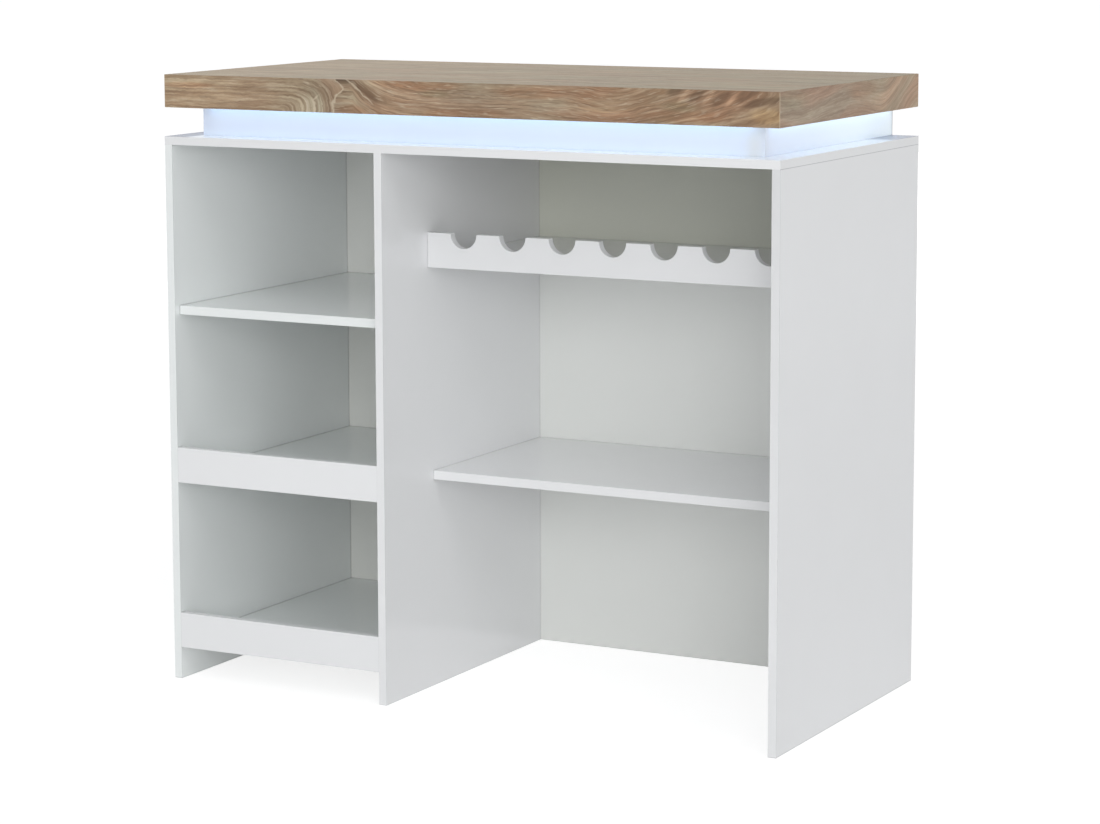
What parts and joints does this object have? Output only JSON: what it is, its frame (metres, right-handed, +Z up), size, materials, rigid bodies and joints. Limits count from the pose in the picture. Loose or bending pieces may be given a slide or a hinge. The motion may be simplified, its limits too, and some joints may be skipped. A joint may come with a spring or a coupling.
{
  "type": "bar cabinet",
  "caption": "Free-standing bar cabinet with open shelves, a notched bottle rail and a lit plinth between its white carcass and a thick oak-finish worktop.",
  "frame": {"origin": "middle of the floor area that the cabinet covers", "axes": "+X to the right and +Y to the rear as seen from the open shelf side, +Z up"},
  "size_m": [1.2, 0.6, 1.1],
  "materials": {
    "white_board": "white high-gloss laminate on board",
    "white_sheet": "white high-gloss laminate on thin fibreboard",
    "oak_board": "matt light-oak decor on board",
    "core_board": "raw chipboard",
    "light_diffuser": "milky diffuser over cool white diodes",
    "driver_case": "matt moulded plastic",
    "inlet_case": "matt black moulded plastic",
    "beech": "raw beech",
    "zinc_plate": "bright zinc plate"
  },
  "bodies": {
    "root": {"left_side_panel": "white_board", "divider_panel": "white_board", "right_side_panel": "white_board", "carcass_top_panel": "white_board", "left_back_sheet": "white_sheet", "right_back_board": "white_board", "left_bottom_shelf": "white_board", "left_middle_shelf": "white_board", "left_upper_shelf": "white_board", "left_bottom_lip": "white_board", "left_middle_lip": "white_board", "right_shelf": "white_board", "bottle_shelf": "white_board", "bottle_rail": "white_board", "front_plinth_board": "white_board", "rear_plinth_board": "white_board", "left_plinth_board": "white_board", "right_plinth_board": "white_board", "plinth_cross_rail": "core_board", "worktop_top_board": "oak_board", "worktop_front_apron": "oak_board", "worktop_rear_apron": "oak_board", "worktop_left_apron": "oak_board", "worktop_right_apron": "oak_board", "worktop_base_board": "white_board", "worktop_rib_left": "core_board", "worktop_rib_middle": "core_board", "worktop_rib_right": "core_board", "front_light_strip": "light_diffuser", "left_light_strip": "light_diffuser", "right_light_strip": "light_diffuser", "light_driver": "driver_case", "power_inlet": "inlet_case", "dowels": "beech", "plinth_screws": "zinc_plate"}
  },
  "joints": []
}
